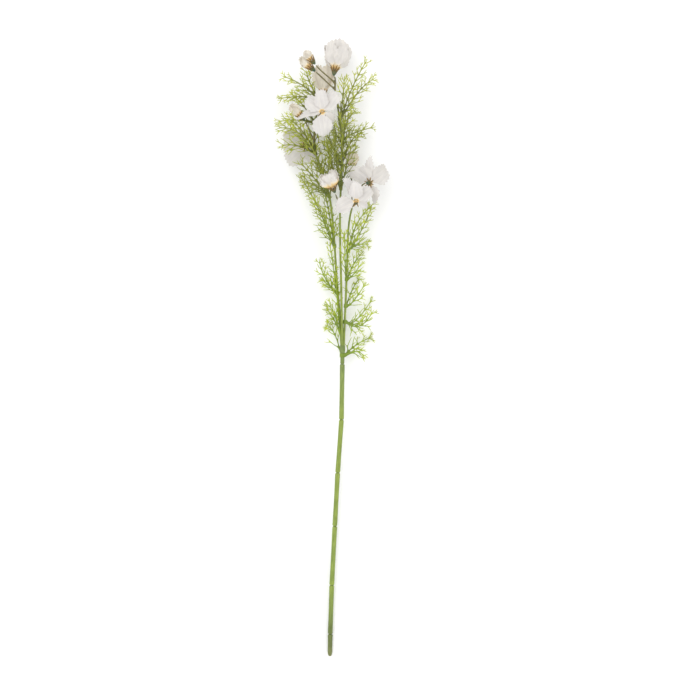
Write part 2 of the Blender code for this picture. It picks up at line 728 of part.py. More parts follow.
def build_flowers():
    for name, (centre, axis, calyx_length, rows) in OPEN_FLOWERS.items():
        axis = Vector(axis).normalized()
        corolla(f"petals_{name}", mm(centre), axis, open_petals(rows), math.radians(-18))
        calyx(f"calyx_{name}", mm(centre), axis, calyx_length * MM, -50)
        flower_centre(f"centre_{name}", mm(centre), axis)
    for name, (centre, axis, calyx_length, lift, bend, length) in CUPS.items():
        axis = Vector(axis).normalized()
        cup(f"petals_{name}", mm(centre), axis, math.radians(lift), math.radians(bend), length * MM)
        calyx(f"calyx_{name}", mm(centre), axis, calyx_length * MM, -20)
        if name in CENTRED_CUPS:
            flower_centre(f"centre_{name}", mm(centre), axis)


def tree_of(made):
    bpy.context.view_layer.update()
    graph = bpy.context.evaluated_depsgraph_get()
    evaluated = made.evaluated_get(graph)
    bm = bmesh.new()
    mesh = evaluated.to_mesh()
    bm.from_mesh(mesh)
    bm.transform(made.matrix_world)
    tree = BVHTree.FromBMesh(bm)
    evaluated.to_mesh_clear()
    bm.free()
    return tree


def main():
    clear_scene()
    collection = bpy.data.collections.new("cosmos_spray")
    bpy.context.scene.collection.children.link(collection)
    for name in MATERIALS:
        make_material(name)
    build_stem()
    build_branches()
    for name, arms in STALKS.items():
        build_stalk(name, arms)
    build_flowers()
    build_foliage([tree_of(made) for made in collection.objects])


main()
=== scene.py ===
"""The looks of an artificial cosmos spray, lying on a pale surface and built around its CAD model.

Lengths are in metres unless a table says mm. The stem runs along +Y and the surface is z = 0.
"""

import math
import random

import bmesh
import bpy
from mathutils import Matrix, Vector
from mathutils.bvhtree import BVHTree

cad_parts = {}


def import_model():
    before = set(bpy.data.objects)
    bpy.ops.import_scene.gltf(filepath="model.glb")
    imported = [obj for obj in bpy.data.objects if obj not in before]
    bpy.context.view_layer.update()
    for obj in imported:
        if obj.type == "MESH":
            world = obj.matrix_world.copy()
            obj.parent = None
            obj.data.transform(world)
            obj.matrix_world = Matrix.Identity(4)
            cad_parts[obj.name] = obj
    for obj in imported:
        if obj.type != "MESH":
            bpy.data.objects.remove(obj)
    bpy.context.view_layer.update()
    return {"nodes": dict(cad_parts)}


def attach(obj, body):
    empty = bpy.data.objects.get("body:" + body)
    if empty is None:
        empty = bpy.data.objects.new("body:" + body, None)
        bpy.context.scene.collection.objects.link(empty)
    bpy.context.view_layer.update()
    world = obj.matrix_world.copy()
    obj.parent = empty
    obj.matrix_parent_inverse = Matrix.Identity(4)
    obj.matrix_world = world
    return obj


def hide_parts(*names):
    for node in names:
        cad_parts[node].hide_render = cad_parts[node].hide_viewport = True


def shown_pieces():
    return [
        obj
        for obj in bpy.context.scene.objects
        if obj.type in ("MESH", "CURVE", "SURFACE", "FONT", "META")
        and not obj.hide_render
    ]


MM = 0.001

# Main stem: moulded sleeves on a wire, and where they meet, from the cut end to the collar, in mm.
STEM_RADIUS = 2.8 * MM
STEM_END_RADIUS = 1.4 * MM
WIRE_RADIUS = 1.1 * MM
SLEEVE_GAP = 0.3 * MM
SLEEVE_ROUND = 0.9 * MM
SLEEVE_WAIST = 0.15 * MM
FOOT_PLUG = 6.0 * MM
STEM_SIDES = 32
STEM_JOINTS = [
    (-4.9, -350.0, 2.85),
    (-4.5, -324.6, 4.3),
    (-2.7, -268.6, 7.5),
    (0.8, -200.8, 11.3),
    (4.1, -139.7, 14.7),
    (8.4, -79.2, 18.1),
    (9.4, -15.8, 21.7),
]
COLLAR_TOP = (9.6, 5.1, 22.9)
COLLAR_RADIUS = 2.4 * MM
COLLAR_TOP_RADIUS = 3.1 * MM

# Branches, each by the points it passes through, in mm. Their feet reach down to the collar.
BRANCH_RADIUS = 1.3 * MM
BRANCH_TIP_SHARE = 0.75
BRANCH_FOOT = 0.45 * MM
ROUTE_STEPS = 2
FINE_ROUTE_STEPS = 6
BRANCHES = {
    "left": [
        (8.2, 5.6, 22.1), (6.0, 45, 24), (3.0, 80, 25.5), (0.8, 116, 27), (-1.9, 149, 29),
        (-4.5, 170, 30.5), (-10, 190, 32), (-18.5, 214, 34), (-22.5, 232, 36), (-21.5, 252, 38),
        (-18.5, 272, 40), (-17, 288, 41),
    ],
    "middle": [
        (9.6, 5.6, 24.6), (8.6, 45, 28.5), (8.0, 80, 31.5), (7.2, 110, 34), (6.8, 153, 38), (8.0, 190, 41),
        (8.8, 222, 43), (7.5, 250, 45), (4.5, 272, 46.5), (1.8, 288, 47.5),
    ],
    "right": [
        (11.0, 5.6, 22.1), (12.6, 42, 24.5), (14.2, 80, 27.5), (15.4, 114, 30.5), (16.2, 135, 33),
        (18.0, 150, 35.5), (20.3, 160, 38),
    ],
}

# Foliage: fronds moulded in one with a short sleeve on a branch.
RING_SIDES = 8
RING_LENGTH = 5.0 * MM
RING_WALL = 0.5 * MM
RIB_HALF = 0.65 * MM
RIB_TIP_HALF = 0.5 * MM
NODE_LENGTH = 1.3 * MM
NODE_SPACING = 7.6 * MM
CLEARANCE = 0.35 * MM
# Twigs, then the smaller twigs on them: half thickness, length, steps, angle from what each grows
# out of, and share of the places where one grows.
TWIG_HALF = [0.5 * MM, 0.45 * MM]
TWIG_LENGTH = [17.0 * MM, 7.5 * MM]
TWIG_STEPS = [3, 2]
TWIG_ANGLE = [38.0, 40.0]
TWIG_SHARE = [0.95, 0.72]
# How a twig varies: its length's share, its angle, how far it leans out of its frond, and the leans
# tried after that where something is in its way.
TWIG_LENGTH_SPREAD = (0.75, 1.2)
TWIG_ANGLE_SPREAD = 9
TWIG_LEAN_SPREAD = 18
TWIG_OTHER_LEANS = (35, -35, 60, -60)
TWIG_SHORTEST = 2.5 * MM
TWIG_PAIR_SHARE = 0.4
TIP_STEP = 2.5 * MM
# Twigs of one sleeve keep this far apart, unless they share a fork.
OWN_CLEARANCE = 0.9 * MM
FORK_REACH = 2.2 * MM
OWN_REACH = 25 * MM
# The twigs' length on each sleeve, as a share: longer in the thick of the spray, shorter beside it.
TWIG_SCALE = {
    "foliage_left_1": 0.85, "foliage_left_2": 0.85, "foliage_left_4": 1.45, "foliage_left_5": 1.15,
    "foliage_middle_1": 1.45, "foliage_middle_2": 1.3, "foliage_middle_3": 0.85,
}
# How far each sleeve's colour goes from olive to yellow-green, as a share. It is least in the thick of the
# spray, where the strands are browner, and there it also paints in the shade that falls among them.
TONE_AND_SHADE = {
    "foliage_left_3": 0.8, "foliage_left_4": 0.6, "foliage_left_5": 0.85, "foliage_middle_1": 0.45,
    "foliage_middle_2": 0.6, "foliage_middle_3": 0.8,
}
# Each sleeve: the branch it is on, its place along it, and its fronds as (middle, tip, tilt), in mm
# and degrees.
FOLIAGE = {
    "foliage_collar": ("collar", -6, [
        ((24, 5, 14), (40.7, 14.1, 2.5), 0), ((25.4, -1.5, 24), (33.3, -6.5, 27), 30),
        ((0.6, 18, 14), (-8, 28, 3), 0),
    ]),
    "foliage_left_1": ("left", 22, [
        ((-0.6, 43, 30), (-7.6, 51, 36), 20), ((-1, 36, 14), (-8, 46, 2.5), 0),
        ((4, 52, 29), (2.5, 82, 33), 30),
    ]),
    "foliage_left_2": ("left", 64, [
        ((-3.5, 71, 17), (-13.5, 80, 3), 0), ((-10.2, 82, 30), (-16.1, 99, 31), 10),
        ((-0.5, 92, 32), (-4.5, 118, 35), 30),
    ]),
    "foliage_left_3": ("left", 118, [
        ((-17, 159, 21), (-37.9, 196.8, 10), 0), ((-9, 145, 35), (-22, 170, 40), 15),
        ((-5, 152, 14), (-11, 182, 5), 0),
    ]),
    "foliage_left_4": ("left", 174, [
        ((-20, 191, 37), (-36, 209, 42), 0), ((-14, 205, 46), (-29, 233, 50), 20),
        ((-3, 204, 51), (-7, 231, 53), 50), ((-16, 184, 14), (-31, 192, 2.5), 0),
        ((-15, 200, 22), (-26, 222, 13), 0),
    ]),
    "foliage_left_5": ("left", 222, [
        ((-39.6, 244, 42), (-61, 250, 40), 0), ((-40, 229, 50), (-57, 229, 54), 15),
        ((-36, 246, 52), (-50, 258, 57), 10), ((-22, 245, 28), (-20, 268, 22), 0),
    ]),
    "foliage_left_6": ("left", 256, [
        ((-42.4, 260, 32), (-62, 259, 25), 0), ((-34.5, 276, 30), (-48, 290, 22), 10),
    ]),
    "foliage_left_7": ("left", 283, [
        ((-34.5, 297, 45), (-55.4, 307, 46), 0), ((-38.5, 286, 35), (-59.9, 285, 27), 0),
        ((-27, 301, 37), (-31, 314, 32), 20),
    ]),
    "foliage_middle_1": ("middle", 182, [
        ((2.5, 214, 54), (1, 238, 56), 60), ((-3, 212, 26), (-8, 236, 10), 0),
        ((14, 205, 52), (19, 226, 56), 40),
        ((9.5, 208, 26), (9, 236, 16), 0),
    ]),
    "foliage_middle_2": ("middle", 210, [
        ((19.8, 236, 33), (31, 247, 23), 0), ((9.5, 238, 57), (8, 258, 60), 60),
        ((-3, 232, 46), (-12, 250, 47), 20),
        ((11, 240, 28), (13, 266, 18), 0),
    ]),
    "foliage_middle_3": ("middle", 236, [
        ((23.2, 244.3, 41), (43, 251, 36), 0), ((15.3, 257, 54), (23.2, 266, 60), 30),
        ((-3, 251, 24), (-12, 262, 2.5), 0),
    ]),
    "foliage_middle_4": ("middle", 260, [
        ((19.8, 292.4, 48), (35.4, 322.3, 50), 0), ((27, 290, 38), (44.1, 305.9, 31), 10),
        ((10.5, 286, 57), (11.5, 301, 62), 30),
    ]),
    "foliage_right_1": ("right", 32, [
        ((29, 27, 30), (43, 42, 34), 0), ((25, 34, 15), (42.4, 56.6, 4), 0),
    ]),
    "foliage_right_2": ("right", 50, [
        ((22.6, 56, 32), (34.2, 73, 37), 10), ((20, 67, 14), (28, 81, 2.5), 0),
    ]),
    "foliage_right_3": ("right", 80, [
        ((22, 85, 38), (28.5, 94, 44), 30), ((23.2, 99, 20), (33, 112, 4), 0),
        ((12.5, 104, 40), (12, 130, 45), 30),
    ]),
    "foliage_right_4": ("right", 112, [
        ((30.5, 135, 23), (41.8, 160, 14), 0), ((25.5, 141, 42), (45, 165, 42), 10),
        ((26, 119, 19), (38, 121, 2.5), 0),
    ]),
}

# Flower stalks, each as its arms: the point of the first arm that it leaves, its points in mm, and
# the flower at its end.
STALK_HALF = 0.85 * MM
STALKS = {
    "stalk_top": [
        (None, [(1.6, 288.9, 47.6), (1.4, 293.5, 47.9), (1.8, 301, 48.6), (1.2, 306, 51)], "top"),
        (1, [(-9, 302, 46.5), (-16, 308.5, 46.5)], "bud_low"),
        (2, [(-8, 307.5, 52), (-15.5, 313.5, 55.5)], "bud_high"),
    ],
    "stalk_upper_left": [
        (None, [(-22.8, 233.5, 38.3), (-22.6, 236, 41), (-18.5, 251, 45.5)], "front"),
        (1, [(-28, 248, 42)], "bud_left"),
    ],
    "stalk_lower_left": [(None, [(-23.9, 230.6, 34.7)], "lower_left")],
    "stalk_behind": [(None, [(-17.0, 273, 37.9), (-15.4, 276.5, 34)], "behind")],
    "stalk_right": [
        (None, [(20.5, 160.8, 38.6), (21.5, 162.3, 41.5)], "near_right"),
        (1, [(25.5, 175, 44), (30, 183, 50), (33, 186, 53)], "far_right"),
        (1, [(20, 180, 33), (19.8, 192, 27)], "bud_right"),
    ],
    "stalk_bud": [(None, [(5.9, 160.5, 40.2), (4.5, 168, 50)], "bud_front")],
}

# Flowers, die-cut from thin stiffened fabric. Angles in degrees and lengths in mm.
FABRIC_THICKNESS = 0.3 * MM
SEAT = 0.75 * MM
DISC_RADIUS = 2.2 * MM
CALYX_BOTTOM_RADIUS = 1.25 * MM
CALYX_TOP_RADIUS = 2.8 * MM
CALYX_SIDES = 8
LOBE_LENGTH = 6.5 * MM
OPEN_LOBE_LENGTH = 4.6 * MM
CENTRE_RADIUS = 1.2 * MM
PETAL_ACROSS = 26
PETAL_ALONG = 26
PETAL_TEETH = (14, 19)
TOOTH_DEPTH = 1.8 * MM
LOBE_DEPTH = 0.05
RIPPLES = (2, 3, 3, 4)
RUFFLE = 0.8 * MM
DISH = 0.2
GROOVE = 0.2 * MM
SWAY = 0.06
# A petal's claw, as a share of its blade's width, and the share of its length where its bend starts.
CLAW_WIDTH = 0.2
BEND_START = 0.35
# Each open flower: centre, axis, calyx length, and petals by heading, rise, roll, length and width.
OPEN_FLOWERS = {
    "front": ((-13, 266.4, 58), (-0.1, 0.3, 0.95), 7.5, [
        (-88, 2, 0, 27, 24), (-38, -12, 0, 18, 15), (52, 18, 10, 27, 21), (95, 32, 0, 26, 17),
        (138, 14, -8, 23, 19), (188, 4, 62, 30, 17),
    ]),
    "lower_left": ((-34.5, 231, 27), (-0.7, -0.12, -0.7), 7.5, [
        (147, 4, -28, 27, 24), (186, -8, 0, 24, 19), (228, -6, 28, 27, 25), (303, -14, 28, 22, 18),
        (96, -30, 0, 20, 15),
    ]),
    "far_right": ((41, 187.7, 44), (0.6, 0.05, -0.8), 7.5, [
        (38, 24, 0, 29, 24), (93, -14, 60, 31, 11), (113, -6, 0, 21, 16), (143, -14, 14, 31, 19),
        (-68, 8, 20, 25, 15),
    ]),
    "near_right": ((24.9, 166.8, 56), (0, 0.4, 0.9), 7.5, [
        (198, 2, 0, 25, 22), (112, 22, 35, 30, 14), (90, 42, 0, 24, 17), (40, 12, 0, 22, 20),
        (-20, -14, 0, 15, 13),
    ]),
}
# Each bud or half-open cup: centre, axis, calyx length, petals, lift, bend, petal length and width,
# turn, golden length and creaminess.
CUPS = {
    "top": ((1.0, 314.5, 50), (0.15, 0.93, -0.32), 7.5, 6, 56, 30, 36, 28, 10, 8, 0.1),
    "behind": ((-12.5, 291, 33), (0.05, 0.95, -0.1), 6.5, 5, 60, 28, 34, 21, 0, 7, 0.6),
    "bud_high": ((-24.9, 324.6, 57), (-0.62, 0.78, 0.1), 6.0, 4, 66, 55, 13, 10, 20, 6, 0.5),
    "bud_low": ((-26, 317.8, 45), (-0.73, 0.68, -0.1), 6.5, 5, 66, 60, 17, 13, 0, 8, 0.6),
    "bud_left": ((-37.5, 263.5, 42), (-0.65, 0.7, 0.1), 6.5, 4, 66, 55, 18, 12, 45, 7, 0.6),
    "bud_right": ((20.4, 208.7, 24), (0.05, 0.95, 0.1), 6.5, 4, 58, 50, 18, 14, 30, 6, 0.7),
    "bud_front": ((-1.1, 181.5, 58), (-0.38, 0.9, 0.2), 6.0, 5, 40, 42, 21, 20, 15, 12, 0.1),
}
CENTRED_CUPS = ["top"]
OPEN_GOLD = 4.0 * MM
OPEN_BEND = -18
OPEN_LOBE_LIFT = -28
CUP_LOBE_DROP = 10
# The share of a petal's length over which it widens from its claw.
OPEN_CLAW = 0.4
CUP_CLAW = 0.34

# The camera looks straight down. The view is that wide at the stem's height, in metres.
CAMERA_HEIGHT = 2.43
CAMERA_X = 0.0181
VIEW_WIDTH = 0.7917
OBJECT_HEIGHT = 0.03
LIGHT_TARGET = (0, 0.1, 0)

# A colour mix, and one that darkens.
COLOURS = {"data_type": "RGBA"}
DARKEN = {"data_type": "RGBA", "blend_type": "MULTIPLY"}


def mm(point):
    return Vector(point) * MM


# ---------------------------------------------------------------- materials


def linear(code):
    """An sRGB hex colour as linear RGBA."""
    channels = [int(code[i : i + 2], 16) / 255 for i in (1, 3, 5)]
    return (*[c / 12.92 if c <= 0.04045 else ((c + 0.055) / 1.055) ** 2.4 for c in channels], 1.0)


def add(tree, kind, output=0, inputs=None, stops=None, **settings):
    """Adds a node with its settings, its inputs (values or links) and its stops, and returns an output."""
    made = tree.nodes.new("ShaderNode" + kind)
    for name, value in settings.items():
        setattr(made, name, value)
    for key, value in (inputs or {}).items():
        if isinstance(value, bpy.types.NodeSocket):
            tree.links.new(value, made.inputs[key])
        else:
            made.inputs[key].default_value = value
    if stops:
        elements = made.color_ramp.elements
        while len(elements) < len(stops):
            elements.new(1.0)
        for element, (place, code) in zip(elements, stops):
            element.position = place
            element.color = linear(code)
    return made.outputs[output]


def new_material(name, roughness, metallic=0.0):
    material = bpy.data.materials.new(name)
    material.use_nodes = True
    tree = material.node_tree
    shader = tree.nodes["Principled BSDF"]
    shader.inputs["Roughness"].default_value = roughness
    shader.inputs["Metallic"].default_value = metallic
    return material, tree, shader


def patches(tree, vector, size, detail=2.0, pull=(1, 1, 1)):
    """Soft patches of about that size in metres, pulled out by that much along each axis."""
    mapped = add(tree, "Mapping", 0, {"Vector": vector, "Scale": [1 / p for p in pull]})
    return add(tree, "TexNoise", "Fac", {"Vector": mapped, "Scale": 1 / size, "Detail": detail})


def along_stem(tree, place, low, high):
    """0 to 1 between two places along the stem."""
    y = add(tree, "SeparateXYZ", "Y", {0: place})
    return add(tree, "MapRange", 0, {"Value": y, "From Min": low, "From Max": high})


def coat(tree, shader, colour, relief, depth, strength, finer=None):
    """Gives a surface its colour and a fine relief of that depth in metres, over a finer one if given."""
    tree.links.new(colour, shader.inputs["Base Color"])
    inputs = {"Height": relief, "Distance": depth, "Strength": strength}
    if finer:
        inputs["Normal"] = finer
    tree.links.new(add(tree, "Bump", 0, inputs), shader.inputs["Normal"])


def stem_plastic():
    # Moulded polyethylene: satin, with faint lines along it. It is dull at the cut end, bluish above
    # that, fresh green for most of its length and greyer near the collar.
    material, tree, shader = new_material("moulded_stem_plastic", 0.5)
    place = add(tree, "TexCoord", "Object")
    zones = add(tree, "ValToRGB", 0, {0: along_stem(tree, place, -0.35, 0.01)}, [
        (0.0, "#8F9363"), (0.03, "#727C48"), (0.13, "#7F9248"),
        (0.2, "#94A94C"), (0.75, "#9DB052"), (1.0, "#84975A"),
    ])
    lines = patches(tree, place, 0.7 * MM, 3, (1, 30, 1))
    clouds = patches(tree, place, 14 * MM, 3)
    darker = add(tree, "ValToRGB", 0, {0: lines}, [(0.35, "#B9BCA8"), (0.65, "#FFFFFF")])
    warmer = add(tree, "ValToRGB", 0, {0: clouds}, [(0.35, "#E4E8D4"), (0.7, "#FFFDF0")])
    colour = add(tree, "Mix", 2, {0: 0.8, 6: zones, 7: darker}, **DARKEN)
    colour = add(tree, "Mix", 2, {0: 1.0, 6: colour, 7: warmer}, **DARKEN)
    coat(tree, shader, colour, lines, 0.25 * MM, 0.5)
    return material


def branch_plastic():
    # The same polyethylene on thinner wire: fresh green where the branches leave the stem, olive up
    # in the flowers.
    material, tree, shader = new_material("branch_plastic", 0.5)
    place = add(tree, "TexCoord", "Object")
    zones = add(tree, "ValToRGB", 0, {0: along_stem(tree, place, 0.0, 0.29)}, [
        (0.0, "#8FA048"), (0.3, "#98A83C"), (0.5, "#8B9C3A"), (0.8, "#7F8738"), (1.0, "#716D38"),
    ])
    lines = patches(tree, place, 0.6 * MM, 3, (1, 25, 1))
    darker = add(tree, "ValToRGB", 0, {0: lines}, [(0.35, "#A8B08C"), (0.65, "#FFFFFF")])
    colour = add(tree, "Mix", 2, {0: 0.85, 6: zones, 7: darker}, **DARKEN)
    coat(tree, shader, colour, lines, 0.2 * MM, 0.5)
    return material


def foliage_plastic():
    # Soft moulded polyethylene, sprayed lighter at the tips: olive at the sleeve, yellow-green at the
    # ends. It is fresher low on the spray and more olive up in the flowers.
    material, tree, shader = new_material("foliage_plastic", 0.48)
    place = add(tree, "TexCoord", "Object")
    reach = add(tree, "Attribute", "Fac", attribute_name="reach")
    low = add(tree, "ValToRGB", 0, {0: reach}, [
        (0.0, "#7F9628"), (0.35, "#98AE2E"), (0.7, "#B0C035"), (1.0, "#C8D048"),
    ])
    high = add(tree, "ValToRGB", 0, {0: reach}, [
        (0.0, "#686D25"), (0.3, "#8B912E"), (0.65, "#B2B93B"), (1.0, "#CFD352"),
    ])
    colour = add(tree, "Mix", 2, {0: along_stem(tree, place, 0.1, 0.2), 6: low, 7: high}, **COLOURS)
    clouds = patches(tree, place, 9 * MM, 3)
    shade = add(tree, "ValToRGB", 0, {0: clouds}, [(0.3, "#C8CFA6"), (0.7, "#FFFFF2")])
    colour = add(tree, "Mix", 2, {0: 0.9, 6: colour, 7: shade}, **DARKEN)
    shader.inputs["Subsurface Weight"].default_value = 0.15
    shader.inputs["Subsurface Radius"].default_value = (0.6, 1.0, 0.2)
    shader.inputs["Subsurface Scale"].default_value = 1.0 * MM
    coat(tree, shader, colour, patches(tree, place, 0.5 * MM, 2), 0.12 * MM, 0.4)
    return material


def stalk_plastic():
    # Thin plastic-covered wire, brown-olive with darker streaks.
    material, tree, shader = new_material("stalk_plastic", 0.5)
    place = add(tree, "TexCoord", "Object")
    streaks = patches(tree, place, 2.0 * MM, 4, (1, 3, 1))
    colour = add(tree, "ValToRGB", 0, {0: streaks}, [
        (0.3, "#514A28"), (0.5, "#6C6638"), (0.75, "#8A8148"),
    ])
    coat(tree, shader, colour, streaks, 0.2 * MM, 0.5)
    return material


def calyx_plastic():
    # Hard moulded cup, dark blue-green, its pointed lobes brushed olive-brown.
    material, tree, shader = new_material("calyx_plastic", 0.45)
    place = add(tree, "TexCoord", "Object")
    reach = add(tree, "Attribute", "Fac", attribute_name="reach")
    mottle = patches(tree, place, 1.5 * MM, 3)
    brushed = add(tree, "Math", 0, {0: reach, 1: mottle}, operation="ADD")
    colour = add(tree, "ValToRGB", 0, {0: brushed}, [
        (0.35, "#2F4F41"), (0.6, "#4B5A33"), (0.85, "#6E5322"), (1.0, "#8A6A2C"),
    ])
    coat(tree, shader, colour, mottle, 0.2 * MM, 0.5)
    return material


def centre_plastic():
    # Grainy button of pale gold plastic in the middle of an open flower, with 0.5 mm grains.
    material, tree, shader = new_material("centre_plastic", 0.65)
    place = add(tree, "TexCoord", "Object")
    grains = add(tree, "TexVoronoi", "Distance", {"Vector": place, "Scale": 1 / (0.5 * MM)})
    colour = add(tree, "ValToRGB", 0, {0: grains}, [(0.0, "#E8DCBC"), (0.6, "#B39C6B")])
    coat(tree, shader, colour, grains, 0.25 * MM, 0.9)
    return material


def petal_fabric():
    # Thin woven polyester with a stiffening dressing: matt off-white, creamy on the buds, and dyed
    # golden at the claw. Its threads are drawn 0.45 mm apart, coarser than real, so that they show.
    material, tree, shader = new_material("petal_fabric", 0.82)
    place = add(tree, "TexCoord", "Object")
    cloth = add(tree, "TexCoord", "UV")
    gold = add(tree, "Attribute", "Fac", attribute_name="gold")
    cream = add(tree, "Attribute", "Fac", attribute_name="cream")
    threads = {"Vector": cloth, "Scale": 0.5 / (0.45 * MM) / 10}
    warp = add(tree, "TexWave", "Fac", threads, bands_direction="X")
    weft = add(tree, "TexWave", "Fac", threads, bands_direction="Y")
    weave = add(tree, "Math", 0, {0: warp, 1: weft}, operation="ADD")
    creases = patches(tree, cloth, 2.2 * MM, 3, (1, 9, 1))
    clouds = patches(tree, place, 12 * MM, 3)
    white = add(tree, "ValToRGB", 0, {0: clouds}, [(0.3, "#C4C1C0"), (0.7, "#D1CECB")])
    creamy = add(tree, "ValToRGB", 0, {0: clouds}, [(0.3, "#CDC3AA"), (0.7, "#DBD1BA")])
    # Painted shade: the cloth is darkened a little along the grooves of its creases.
    crease_shade = add(tree, "ValToRGB", 0, {0: creases}, [(0.38, "#D6D2CE"), (0.6, "#FFFFFF")])
    colour = add(tree, "Mix", 2, {0: cream, 6: white, 7: creamy}, **COLOURS)
    colour = add(tree, "Mix", 2, {0: 0.25, 6: colour, 7: crease_shade}, **DARKEN)
    # The dye runs out along the creases.
    ragged = add(tree, "MapRange", 0, {"Value": creases, "To Min": -0.22, "To Max": 0.22})
    stain = add(tree, "Math", 0, {0: gold, 1: ragged}, operation="ADD")
    dye = add(tree, "ValToRGB", 0, {0: stain}, [(0.15, "#EBDDBE"), (0.55, "#D8B66E"), (1.0, "#B98A38")])
    amount = add(tree, "MapRange", 0, {"Value": stain, "From Min": 0.02, "From Max": 0.45})
    colour = add(tree, "Mix", 2, {0: amount, 6: colour, 7: dye}, **COLOURS)
    woven = add(tree, "Bump", 0, {"Height": weave, "Distance": 0.05 * MM, "Strength": 0.5})
    coat(tree, shader, colour, creases, 0.3 * MM, 0.5, woven)
    shader.inputs["Subsurface Weight"].default_value = 0.2
    shader.inputs["Subsurface Radius"].default_value = (1.0, 0.95, 0.85)
    shader.inputs["Subsurface Scale"].default_value = 1.5 * MM
    # A faint glow is painted in: it stands in for light coming through the thin cloth, and lifts the petals
    # that lie in shade.
    shader.inputs["Emission Color"].default_value = linear("#F6F0E6")
    shader.inputs["Emission Strength"].default_value = 0.1
    return material


def steel_wire():
    # Drawn steel core of the stem, with fine lines along it.
    material, tree, shader = new_material("steel_wire", 0.35, 1.0)
    place = add(tree, "TexCoord", "Object")
    lines = patches(tree, place, 0.3 * MM, 2, (1, 40, 1))
    colour = add(tree, "ValToRGB", 0, {0: lines}, [(0.3, "#8F8E8B"), (0.7, "#C4C3C0")])
    tree.links.new(colour, shader.inputs["Base Color"])
    return material


MATERIALS = {}


def make_materials():
    makers = [stem_plastic, branch_plastic, foliage_plastic, stalk_plastic]
    makers += [calyx_plastic, centre_plastic, petal_fabric, steel_wire]
    for maker in makers:
        MATERIALS[maker.__name__] = maker()


# ---------------------------------------------------------------- pieces


def add_piece(node, data, slot):
    """A finer piece in place of a CAD node."""
    made = bpy.data.objects.new(f"{node}_fine", data)
    data.materials.append(MATERIALS[slot])
    bpy.context.scene.collection.objects.link(made)
    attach(made, "root")
    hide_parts(node)
    return made


def mesh_piece(node, bm, slot, subdivisions=0):
    mesh = bpy.data.meshes.new(f"{node}_fine")
    bm.to_mesh(mesh)
    bm.free()
    mesh.shade_smooth()
    made = add_piece(node, mesh, slot)
    if subdivisions:
        smooth = made.modifiers.new("smooth", "SUBSURF")
        smooth.levels = smooth.render_levels = subdivisions
    return made


def turned(node, profile, start, end, slot):
    """A body turned about the line from start to end. Its profile is a loop of (radius, height)."""
    bm = bmesh.new()
    turn = (end - start).to_track_quat("Z", "Y").to_matrix().to_4x4()
    corners = [bm.verts.new((radius, 0, height)) for radius, height in profile]
    loop = [bm.edges.new(pair) for pair in zip(corners, corners[1:] + corners[:1])]
    bmesh.ops.spin(
        bm, geom=corners + loop, cent=(0, 0, 0), axis=(0, 0, 1), angle=2 * math.pi, steps=STEM_SIDES,
        use_merge=True,
    )
    bmesh.ops.remove_doubles(bm, verts=bm.verts, dist=0.01 * MM)
    bmesh.ops.recalc_face_normals(bm, faces=bm.faces)
    bm.transform(Matrix.Translation(start) @ turn)
    made = mesh_piece(node, bm, slot)
    made.data.set_sharp_from_angle(angle=math.radians(50))
    return made


def sleeve_profile(length, first):
    """A sleeve's wall: slightly waisted and rounded in at its ends. The first is closed at its foot."""
    bore = WIRE_RADIUS + SLEEVE_GAP
    waist = STEM_RADIUS - SLEEVE_WAIST
    if first:
        wall = [
            (STEM_END_RADIUS, 0.0), (STEM_END_RADIUS + 0.7 * MM, 1.6 * MM),
            (STEM_RADIUS - 0.2 * MM, 4.5 * MM),
        ]
    else:
        wall = [
            (STEM_RADIUS - SLEEVE_ROUND, 0.0), (STEM_RADIUS - 0.5 * MM, 0.35 * MM),
            (STEM_RADIUS - 0.1 * MM, 1.0 * MM), (STEM_RADIUS, 2.0 * MM),
        ]
    wall += [
        (waist, length * 0.35), (waist, length * 0.65),
        (STEM_RADIUS, length - 3.0 * MM), (STEM_RADIUS, length - 1.2 * MM),
        (STEM_RADIUS - 0.5 * MM, length - 0.3 * MM), (STEM_RADIUS - SLEEVE_ROUND, length), (bore, length),
    ]
    if first:
        return [(0.0, FOOT_PLUG), (0.0, 0.0), *wall, (bore, FOOT_PLUG)]
    return [(bore, 0.0), *wall]


def build_stem(frame):
    joints = [mm(point) for point in STEM_JOINTS]
    for number, (low, high) in enumerate(zip(joints, joints[1:]), 1):
        along = (high - low).normalized() * SLEEVE_GAP / 2
        start, end = low + along, high - along
        profile = sleeve_profile((end - start).length, number == 1)
        turned(f"stem_sleeve_{number}", profile, start, end, "stem_plastic")
    low, top = joints[-1], mm(COLLAR_TOP)
    start = low + (top - low).normalized() * SLEEVE_GAP / 2
    length = (top - start).length
    bore = WIRE_RADIUS + SLEEVE_GAP
    profile = [
        (bore, 0.0), (COLLAR_RADIUS - 0.4 * MM, 0.0), (COLLAR_RADIUS, 0.5 * MM),
        (COLLAR_RADIUS, length * 0.55), (COLLAR_TOP_RADIUS, length * 0.72),
        (COLLAR_TOP_RADIUS, length - 0.6 * MM), (COLLAR_TOP_RADIUS - 0.4 * MM, length),
        (0.0, length), (0.0, length * 0.75), (bore, length * 0.75),
    ]
    turned("branch_collar", profile, start, top, "stem_plastic")
    wire = frame["nodes"]["stem_wire"]
    wire.data.materials.clear()
    wire.data.materials.append(MATERIALS["steel_wire"])


def smooth_route(points, steps):
    """Points on a Catmull-Rom curve through the given ones, with steps between each two."""
    ends = [2 * points[0] - points[1], *points, 2 * points[-1] - points[-2]]
    route = []
    for a, b, c, d in zip(ends, ends[1:], ends[2:], ends[3:]):
        for step in range(steps):
            t = step / steps
            curved = (2 * a - 5 * b + 4 * c - d) * t**2 + (3 * b - a - 3 * c + d) * t**3
            route.append(0.5 * (2 * b + (c - a) * t + curved))
    route.append(points[-1])
    return route


